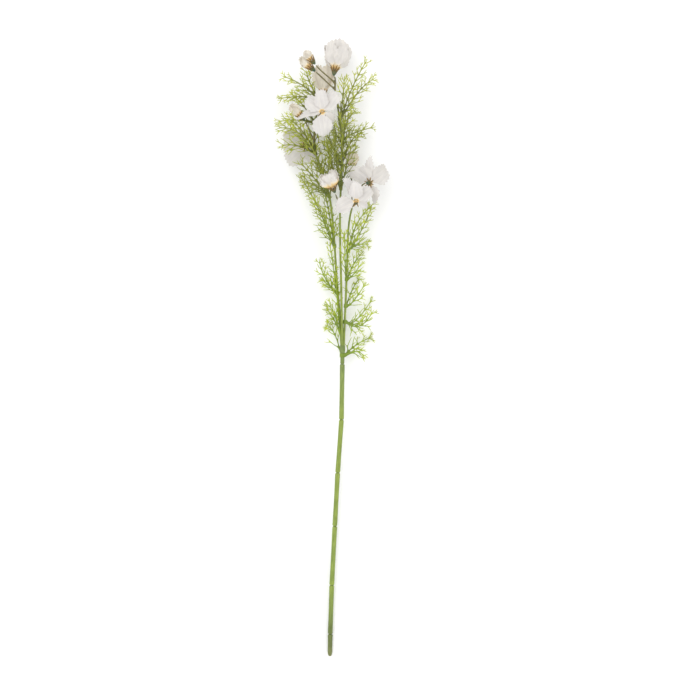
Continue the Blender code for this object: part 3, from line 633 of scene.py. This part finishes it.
def build_branches():
    for side, points in BRANCHES.items():
        route = smooth_route([mm(point) for point in points], FINE_ROUTE_STEPS)
        route[0] -= (route[1] - route[0]).normalized() * BRANCH_FOOT
        curve = bpy.data.curves.new(f"branch_{side}_fine", "CURVE")
        curve.dimensions = "3D"
        curve.bevel_depth = BRANCH_RADIUS
        curve.bevel_resolution = 4
        curve.use_fill_caps = True
        spline = curve.splines.new("POLY")
        spline.points.add(len(route) - 1)
        for index, point in enumerate(route):
            spline.points[index].co = (*point, 1)
            spline.points[index].radius = 1 + (BRANCH_TIP_SHARE - 1) * index / (len(route) - 1)
        spline.use_smooth = True
        add_piece(f"branch_{side}", curve, "branch_plastic")


def place_on(branch, y):
    """The point and the direction of a branch, or of the collar, where it passes y."""
    if branch == "collar":
        route = [mm(STEM_JOINTS[-1]), mm(COLLAR_TOP)]
    else:
        route = smooth_route([mm(point) for point in BRANCHES[branch]], ROUTE_STEPS)
    for low, high in zip(route, route[1:]):
        if low.y <= y * MM <= high.y:
            share = (y * MM - low.y) / (high.y - low.y)
            return low.lerp(high, share), (high - low).normalized()
    raise ValueError(f"branch {branch} doesn't pass y = {y}")


def square_corners(face, centre, direction, half):
    """Moves a face's four corners to a square around centre that faces along direction, untwisted."""
    corners = list(face.verts)
    across = corners[0].co + corners[1].co - corners[2].co - corners[3].co
    across = (across - direction * across.dot(direction)).normalized()
    other = corners[1].co + corners[2].co - corners[3].co - corners[0].co
    along = direction.cross(across)
    if along.dot(other) < 0:
        along = -along
    for corner, a, b in zip(corners, (1, 1, -1, -1), (-1, 1, 1, -1)):
        corner.co = centre + (across * a + along * b) * half


def extrude_to(bm, face, centre, direction, half, reach=0.0):
    """Extrudes a face to a square around centre, and returns that end and the step's four sides."""
    end = bmesh.ops.extrude_discrete_faces(bm, faces=[face])["faces"][0]
    square_corners(end, centre, direction.normalized(), half)
    layer = bm.verts.layers.float["reach"]
    for corner in end.verts:
        corner[layer] = reach
    sides = [other for edge in end.edges for other in edge.link_faces if other is not end]
    return end, sides


def side_towards(sides, centre, direction):
    left = [side for side in sides if side.is_valid]
    return max(left, key=lambda side: (side.calc_center_median() - centre).dot(direction))


def above_floor(point, half):
    """The point, or the nearest one above it where a bar of that half width clears the surface."""
    return Vector((point.x, point.y, max(point.z, half * math.sqrt(2) + 0.1 * MM)))


def ring(centre, direction, bore):
    """A short sleeve around a branch, as a bmesh."""
    bm = bmesh.new()
    bm.verts.layers.float.new("reach")
    radius = (bore + RING_WALL) / math.cos(math.pi / RING_SIDES)
    bmesh.ops.create_cone(
        bm, cap_ends=False, segments=RING_SIDES, radius1=radius, radius2=radius, depth=RING_LENGTH
    )
    bmesh.ops.solidify(bm, geom=bm.faces[:], thickness=RING_WALL)
    turn = direction.to_track_quat("Z", "Y").to_matrix().to_4x4()
    bm.transform(Matrix.Translation(centre) @ turn)
    bm.normal_update()
    return bm


def outer_walls(bm, centre, direction, bore):
    """The ring's faces that look away from the branch."""
    walls = []
    for face in bm.faces:
        out = face.calc_center_median() - centre
        out -= direction * out.dot(direction)
        if out.length > bore + RING_WALL / 2 and abs(face.normal.dot(direction)) < 0.5:
            walls.append(face)
    return walls


def rib_points(start, middle, tip):
    """Pairs of points, the ends of each short node along a rib that curves through its middle."""
    control = 2 * middle - (start + tip) / 2
    length = (middle - start).length + (tip - middle).length
    count = max(3, round(length / NODE_SPACING))
    pairs = []
    for node in range(1, count + 1):
        ends = []
        for back in (NODE_LENGTH, 0.0):
            t = node / count - back / length
            ends.append(start * (1 - t) ** 2 + control * 2 * t * (1 - t) + tip * t**2)
        pairs.append(ends)
    return pairs


def touches(trees, start, end, half):
    """Whether a bar from start to end comes too near to anything that is already there."""
    for share in (0.35, 0.7, 1.0):
        point = start.lerp(end, share)
        for tree in trees:
            if tree.find_nearest(point, half + CLEARANCE)[0] is not None:
                return True
    return False


def crosses_own(own, start, end):
    """Whether a twig comes too near to a twig of the same piece that grows from somewhere else."""
    for share in (0.5, 1.0):
        point = start.lerp(end, share)
        for other_start, other_end in own:
            if (other_start - point).length > OWN_REACH:
                continue
            if min((other_start - start).length, (other_end - start).length) < FORK_REACH:
                continue
            line = other_end - other_start
            t = min(1, max(0, (point - other_start).dot(line) / line.length_squared))
            if (other_start + line * t - point).length < OWN_CLEARANCE:
                return True
    return False


def turn_from(direction, outward, angle, lean):
    """direction turned by angle towards outward, then by lean out of their plane."""
    normal = direction.cross(outward)
    turned_way = direction * math.cos(angle) + outward * math.sin(angle)
    return (turned_way * math.cos(lean) + normal * math.sin(lean)).normalized()


def grow_twig(bm, side, direction, outward, level, scale, reach, space, rng):
    """Grows a twig with its own smaller twigs out of a face, or nothing where there is no room for it."""
    trees, own = space
    half = TWIG_HALF[level]
    length = TWIG_LENGTH[level] * scale * rng.uniform(*TWIG_LENGTH_SPREAD)
    angle = math.radians(TWIG_ANGLE[level] + rng.uniform(-TWIG_ANGLE_SPREAD, TWIG_ANGLE_SPREAD))
    base = side.calc_center_median()
    if rng.random() > TWIG_SHARE[level]:
        return
    steps = TWIG_STEPS[level]
    step = length / steps
    for lean in (rng.uniform(-TWIG_LEAN_SPREAD, TWIG_LEAN_SPREAD), *TWIG_OTHER_LEANS):
        heading = turn_from(direction, outward, angle, math.radians(lean))
        first = above_floor(base + heading * max(step, TWIG_SHORTEST), half)
        if not touches(trees, base, first, half) and not crosses_own(own, base, first):
            break
    else:
        return
    face, before = side, base
    flip = rng.choice((1, -1))
    for number in range(1, steps + 1):
        share = number / steps
        thin = half * (1 - 0.25 * share)
        point = above_floor(before + heading * step, thin)
        if number > 1 and (touches(trees, before, point, thin) or crosses_own(own, before, point)):
            return
        value = reach + (1 - reach) * share
        way = (point - before).normalized()
        if number == steps:
            extrude_to(bm, face, point, way, thin * 0.75, value)
            own.append((before, point))
            return
        face, _ = extrude_to(bm, face, point - way * NODE_LENGTH, way, thin, value)
        face, sides = extrude_to(bm, face, point, way, thin, value)
        own.append((before, point))
        if level + 1 < len(TWIG_HALF):
            over = way.cross(outward).normalized().cross(way) * flip
            finer = (level + 1, scale, value, space, rng)
            grow_twig(bm, side_towards(sides, point, over), way, over, *finer)
            if number == steps - 1 and rng.random() < TWIG_PAIR_SHARE:
                grow_twig(bm, side_towards(sides, point, -over), way, -over, *finer)
        flip = -flip
        angle = math.radians(rng.uniform(-26, 4))
        heading = turn_from(way, outward, angle, math.radians(rng.uniform(-10, 10)))
        before = point


def frond_plane(direction, tilt):
    """The direction across a frond: level, then tilted about the rib."""
    level = direction.cross(Vector((0, 0, 1)))
    if level.length < 0.2:
        level = direction.cross(Vector((1, 0, 0)))
    return Matrix.Rotation(math.radians(tilt), 3, direction) @ level.normalized()


def grow_rib(bm, wall, middle, tip, own):
    """Grows a rib out of a wall of the sleeve, and returns its short nodes and the face at its end."""
    start = wall.calc_center_median()
    pairs = rib_points(start, mm(middle), mm(tip))
    nodes, face, before = [], wall, start
    for number, (low, high) in enumerate(pairs):
        share = number / (len(pairs) - 1)
        half = RIB_HALF + (RIB_TIP_HALF - RIB_HALF) * share
        low, high = above_floor(low, half), above_floor(high, half)
        face, _ = extrude_to(bm, face, low, low - before, half, share * 0.6)
        face, sides = extrude_to(bm, face, high, high - low, half, share * 0.6)
        own.append((before, high))
        nodes.append((low, high, sides, share))
        before = high
    return nodes, face


def grow_twigs(bm, nodes, face, tilt, scale, space, rng):
    """Grows twigs on both sides of a rib's nodes, and draws out its end."""
    for low, high, sides, share in nodes:
        direction = (high - low).normalized()
        across = frond_plane(direction, tilt)
        for outward in (across, -across):
            side = side_towards(sides, (low + high) / 2, outward)
            sides.remove(side)
            shorter = scale * (1 - 0.5 * share)
            grow_twig(bm, side, direction, outward, 0, shorter, share * 0.6, space, rng)
    grow_tip(bm, face, high, direction, rng)


def grow_tip(bm, face, start, direction, rng):
    """Draws the end of a rib out to a thin tip."""
    for share in (0.85, 1.0):
        angle = math.radians(rng.uniform(-12, 12))
        direction = turn_from(direction, direction.orthogonal().normalized(), angle, 0)
        start = above_floor(start + direction * TIP_STEP, RIB_TIP_HALF * share)
        face, _ = extrude_to(bm, face, start, direction, RIB_TIP_HALF * (1.35 - 0.75 * share), share)


def build_foliage(trees):
    for number, (name, (branch, y, ribs)) in enumerate(FOLIAGE.items()):
        centre, direction = place_on(branch, y)
        bore = (COLLAR_RADIUS if branch == "collar" else BRANCH_RADIUS) + SLEEVE_GAP
        bm = ring(centre, direction, bore)
        walls = outer_walls(bm, centre, direction, bore)
        rng = random.Random(number)
        own, fronds = [], []
        for middle, tip, tilt in ribs:
            out = mm(middle) - centre
            out = (out - direction * out.dot(direction)).normalized()
            wall = side_towards(walls, centre, out)
            walls.remove(wall)
            fronds.append((*grow_rib(bm, wall, middle, tip, own), tilt))
        for nodes, face, tilt in fronds:
            grow_twigs(bm, nodes, face, tilt, TWIG_SCALE.get(name, 1.0), (trees, own), rng)
        # Darker olive on the sleeves in the thick of the spray: partly the strands' browner colour, partly
        # painted shade.
        reach = bm.verts.layers.float["reach"]
        for vert in bm.verts:
            vert[reach] *= TONE_AND_SHADE.get(name, 1.0)
        trees.append(BVHTree.FromBMesh(bm))
        mesh_piece(name, bm, "foliage_plastic", 2)


def build_stalk(name, arms):
    """A forked stalk. Its first arm starts it, and each later one leaves it at one of its points."""
    ends = [flower_foot(flower) for _, _, flower in arms]
    route = [*[mm(point) for point in arms[0][1]], ends[0][0]]
    direction = (route[1] - route[0]).normalized()
    bm = bmesh.new()
    bm.verts.layers.float.new("reach")
    bmesh.ops.create_cube(bm, size=2 * STALK_HALF)
    turn = direction.to_track_quat("Z", "Y").to_matrix().to_4x4()
    bm.transform(Matrix.Translation(route[0] + direction * STALK_HALF) @ turn)
    bm.normal_update()
    face = max(bm.faces, key=lambda one: one.normal.dot(direction))
    forks = {0: (route[0], list(bm.faces))}
    before = route[0] + direction * STALK_HALF * 2
    for index, point in enumerate(route[1:-1], 1):
        along = (point - before).normalized()
        low = point - along * STALK_HALF * 2
        face, _ = extrude_to(bm, face, low, along, STALK_HALF)
        face, sides = extrude_to(bm, face, point, along, STALK_HALF)
        forks[index] = (point - along * STALK_HALF, sides)
        before = point
    extrude_to(bm, face, *ends[0], STALK_HALF)
    for (fork, points, _), end in zip(arms[1:], ends[1:]):
        centre, sides = forks[fork]
        arm = [mm(point) for point in points]
        side = side_towards(sides, centre, (arm[0] - centre).normalized())
        sides.remove(side)
        face, before = side, side.calc_center_median()
        for point, following in zip(arm, [*arm[1:], end[0]]):
            mitre = (point - before).normalized() + (following - point).normalized()
            face, _ = extrude_to(bm, face, point, mitre, STALK_HALF)
            before = point
        extrude_to(bm, face, *end, STALK_HALF)
    return mesh_piece(name, bm, "stalk_plastic", 2)


# ---------------------------------------------------------------- flowers


def flower_foot(name):
    """Where a stalk ends under a flower, and the way that it points there."""
    centre, axis, calyx_length = (OPEN_FLOWERS | CUPS)[name][:3]
    axis = Vector(axis).normalized()
    return mm(centre) - axis * (SEAT + 0.3 * MM + calyx_length * MM), axis


def flower_axes(axis):
    """Two directions square to a flower's axis and to each other."""
    across = axis.orthogonal().normalized()
    return across, axis.cross(across)


def open_petals(rows):
    """Open petals as (direction, roll, length, width), from headings and rises."""
    petals = []
    for heading, rise, roll, length, width in rows:
        turn, climb = math.radians(heading), math.radians(rise)
        direction = Vector((math.cos(turn), math.sin(turn), 0)) * math.cos(climb)
        direction.z = math.sin(climb)
        petals.append((direction, math.radians(roll), length * MM, width * MM))
    return petals


def cup_petals(axis, count, lift, length, width, turn, rng):
    """Petals that lean nearly alike, as (direction, roll, length, width)."""
    across, other = flower_axes(axis)
    petals = []
    for number in range(count):
        angle = math.radians(turn + 360 * number / count)
        radial = across * math.cos(angle) + other * math.sin(angle)
        climb = math.radians(lift + rng.uniform(-5, 3))
        longer = length * rng.uniform(0.9, 1.03)
        petals.append((radial * math.cos(climb) + axis * math.sin(climb), 0.0, longer * MM, width * MM))
    return petals


def smoothstep(x):
    x = min(1.0, max(0.0, x))
    return x * x * (3 - 2 * x)


def add_petal(bm, centre, axis, petal, bend, claw, gold_length, cream, rng):
    """One petal: a narrow claw, and a round blade, dished and ruffled, with small teeth around its edge."""
    direction, roll, length, width = petal
    gold, creamy = bm.verts.layers.float["gold"], bm.verts.layers.float["cream"]
    uv = bm.loops.layers.uv["cloth"]
    radial = (direction - axis * direction.dot(axis)).normalized()
    base = centre + radial * DISC_RADIUS * 0.4
    side = direction.cross(axis).normalized()
    teeth, phase = rng.randint(*PETAL_TEETH), rng.uniform(0, 6.28)
    ripple, ripple_phase = rng.choice(RIPPLES), rng.uniform(0, 6.28)
    sway = rng.uniform(-SWAY, SWAY)
    grid = bmesh.ops.create_grid(bm, x_segments=PETAL_ACROSS, y_segments=PETAL_ALONG, size=1.0)
    flat = {}
    for vert in grid["verts"]:
        a, b = vert.co.x, vert.co.y
        x, y = a * math.sqrt(1 - b * b / 2), b * math.sqrt(1 - a * a / 2)
        rim, angle = math.hypot(x, y), math.atan2(y, x)
        blade = smoothstep((y + 0.75) / 0.5)
        tooth = TOOTH_DEPTH / width * (1 - abs(math.cos(angle * teeth / 2 + phase))) * rim**8
        lobe = LOBE_DEPTH * math.sin(angle * 5 + ripple_phase) * rim**4
        cut = 1 - (2 * tooth + lobe) * blade
        x, y = x * cut, y * cut
        share = (y + 1) / 2
        x *= CLAW_WIDTH + (1 - CLAW_WIDTH) * smoothstep(share / claw)
        bow = bend * (share - BEND_START)
        turned_side = Matrix.Rotation(roll * share, 3, direction) @ side
        normal = turned_side.cross(direction)
        along = direction * math.cos(bow) + normal * math.sin(bow)
        face = normal * math.cos(bow) - direction * math.sin(bow)
        lift = width / 2 * DISH * x * x
        lift += RUFFLE * math.sin(angle * ripple + ripple_phase) * rim**3 * blade
        lift -= GROOVE * math.exp(-((x / 0.1) ** 2)) * smoothstep(share * 3) * (1 - 0.8 * share)
        point = base + along * length * share + face * lift
        point += turned_side * width / 2 * (x + sway * share)
        vert.co = above_floor(point, FABRIC_THICKNESS)
        vert[gold] = 1 - smoothstep(share * length / gold_length)
        vert[creamy] = cream
        flat[vert] = (width / 2 * x, share * length)
    faces = {face for vert in grid["verts"] for face in vert.link_faces}
    for face in faces:
        for loop in face.loops:
            loop[uv].uv = flat[loop.vert]


def corolla(name, centre, axis, petals, bend, claw, gold_length, cream, rng):
    bm = bmesh.new()
    for layer in ("gold", "cream"):
        bm.verts.layers.float.new(layer)
    bm.loops.layers.uv.new("cloth")
    turn = axis.to_track_quat("Z", "Y").to_matrix().to_4x4()
    disc = bmesh.ops.create_circle(bm, cap_ends=True, radius=DISC_RADIUS, segments=16)
    bmesh.ops.transform(bm, matrix=Matrix.Translation(centre) @ turn, verts=disc["verts"])
    for vert in disc["verts"]:
        vert[bm.verts.layers.float["gold"]] = 1.0
    for number, petal in enumerate(petals):
        shift = axis * 0.25 * MM * (number % 2 - 0.5)
        add_petal(bm, centre + shift, axis, petal, bend, claw, gold_length, cream, rng)
    made = mesh_piece(name, bm, "petal_fabric")
    solidify = made.modifiers.new("fabric", "SOLIDIFY")
    solidify.thickness = FABRIC_THICKNESS
    solidify.offset = 0
    smooth = made.modifiers.new("smooth", "SUBSURF")
    smooth.levels = smooth.render_levels = 1
    return made


def calyx(name, centre, axis, length, lobe_lift, lobe_length):
    """A green cup under the petals, with pointed lobes that lie along the petals' backs."""
    top = centre - axis * SEAT
    bm = bmesh.new()
    bm.verts.layers.float.new("reach")
    bmesh.ops.create_cone(
        bm, cap_ends=True, segments=CALYX_SIDES, depth=length,
        radius1=CALYX_BOTTOM_RADIUS, radius2=CALYX_TOP_RADIUS,
    )
    turn = axis.to_track_quat("Z", "Y").to_matrix().to_4x4()
    bm.transform(Matrix.Translation(top - axis * length / 2) @ turn)
    bm.normal_update()
    walls = [face for face in bm.faces if len(face.verts) == 4]
    climb = math.radians(lobe_lift)
    for wall in walls:
        out = wall.calc_center_median() - (top - axis * length / 2)
        out = (out - axis * out.dot(axis)).normalized()
        heading = out * math.cos(climb) + axis * math.sin(climb)
        root = top - axis * 0.9 * MM + out * CALYX_TOP_RADIUS
        steep = out * math.cos(climb + 0.35) + axis * math.sin(climb + 0.35)
        bend = root + steep * lobe_length * 0.5
        face, _ = extrude_to(bm, wall, root, steep, 0.75 * MM, 0.35)
        face, _ = extrude_to(bm, face, bend, heading, 0.7 * MM, 0.5)
        extrude_to(bm, face, bend + heading * lobe_length * 0.5, heading, 0.15 * MM, 0.6)
    return mesh_piece(name, bm, "calyx_plastic", 2)


def flower_centre(name, centre, axis):
    bm = bmesh.new()
    bmesh.ops.create_uvsphere(bm, u_segments=20, v_segments=12, radius=CENTRE_RADIUS)
    turn = axis.to_track_quat("Z", "Y").to_matrix().to_4x4()
    lift = axis * (0.4 * MM + CENTRE_RADIUS * 0.7)
    bm.transform(Matrix.Translation(centre + lift) @ turn @ Matrix.Diagonal((1, 1, 0.7, 1)))
    return mesh_piece(name, bm, "centre_plastic")


def build_flowers():
    rng = random.Random(11)
    for name, (centre, axis, calyx_length, rows) in OPEN_FLOWERS.items():
        centre, axis = mm(centre), Vector(axis).normalized()
        petals, bend = open_petals(rows), math.radians(OPEN_BEND)
        corolla(f"petals_{name}", centre, axis, petals, bend, OPEN_CLAW, OPEN_GOLD, 0.0, rng)
        calyx(f"calyx_{name}", centre, axis, calyx_length * MM, OPEN_LOBE_LIFT, OPEN_LOBE_LENGTH)
        flower_centre(f"centre_{name}", centre, axis)
    for name, (centre, axis, calyx_length, count, lift, bend, *cut, turn, gold, cream) in CUPS.items():
        centre, axis, bend = mm(centre), Vector(axis).normalized(), math.radians(bend)
        petals = cup_petals(axis, count, lift, *cut, turn, rng)
        corolla(f"petals_{name}", centre, axis, petals, bend, CUP_CLAW, gold * MM, cream, rng)
        calyx(f"calyx_{name}", centre, axis, calyx_length * MM, lift - CUP_LOBE_DROP, LOBE_LENGTH)
        if name in CENTRED_CUPS:
            flower_centre(f"centre_{name}", centre, axis)


def tree_of(made):
    bpy.context.view_layer.update()
    graph = bpy.context.evaluated_depsgraph_get()
    evaluated = made.evaluated_get(graph)
    bm = bmesh.new()
    bm.from_mesh(evaluated.to_mesh())
    tree = BVHTree.FromBMesh(bm)
    evaluated.to_mesh_clear()
    bm.free()
    return tree


# ---------------------------------------------------------------- surroundings


def build_floor():
    material, _, shader = new_material("pale_surface", 0.9)
    shader.inputs["Base Color"].default_value = linear("#FBFBFB")
    bm = bmesh.new()
    bmesh.ops.create_grid(bm, x_segments=1, y_segments=1, size=8)
    mesh = bpy.data.meshes.new("surface")
    bm.to_mesh(mesh)
    bm.free()
    mesh.materials.append(material)
    floor = bpy.data.objects.new("surface", mesh)
    bpy.context.scene.collection.objects.link(floor)


def area_light(name, place, size, power):
    light = bpy.data.lights.new(name, "AREA")
    light.size = size
    light.energy = power
    made = bpy.data.objects.new(name, light)
    made.location = place
    aim = Vector(LIGHT_TARGET) - Vector(place)
    made.rotation_euler = aim.to_track_quat("-Z", "Y").to_euler()
    bpy.context.scene.collection.objects.link(made)


def build_lights():
    world = bpy.data.worlds.new("studio")
    world.use_nodes = True
    background = world.node_tree.nodes["Background"]
    background.inputs["Color"].default_value = (1, 1, 1, 1)
    background.inputs["Strength"].default_value = 1.0
    bpy.context.scene.world = world
    area_light("key", (-0.7, 0.5, 3.0), 1.8, 24)
    area_light("fill", (1.4, -0.4, 1.8), 1.6, 4)
    bpy.context.scene.view_settings.view_transform = "Standard"


def build_camera():
    data = bpy.data.cameras.new("camera")
    data.sensor_width = 36
    data.lens = data.sensor_width * (CAMERA_HEIGHT - OBJECT_HEIGHT) / VIEW_WIDTH
    made = bpy.data.objects.new("camera", data)
    made.location = (CAMERA_X, 0, CAMERA_HEIGHT)
    bpy.context.scene.collection.objects.link(made)
    bpy.context.scene.camera = made


def main():
    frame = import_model()
    make_materials()
    build_stem(frame)
    build_branches()
    for name, arms in STALKS.items():
        build_stalk(name, arms)
    build_flowers()
    trees = [tree_of(piece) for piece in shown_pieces() if piece.name not in FOLIAGE]
    build_foliage(trees)
    build_floor()
    build_lights()
    build_camera()


main()
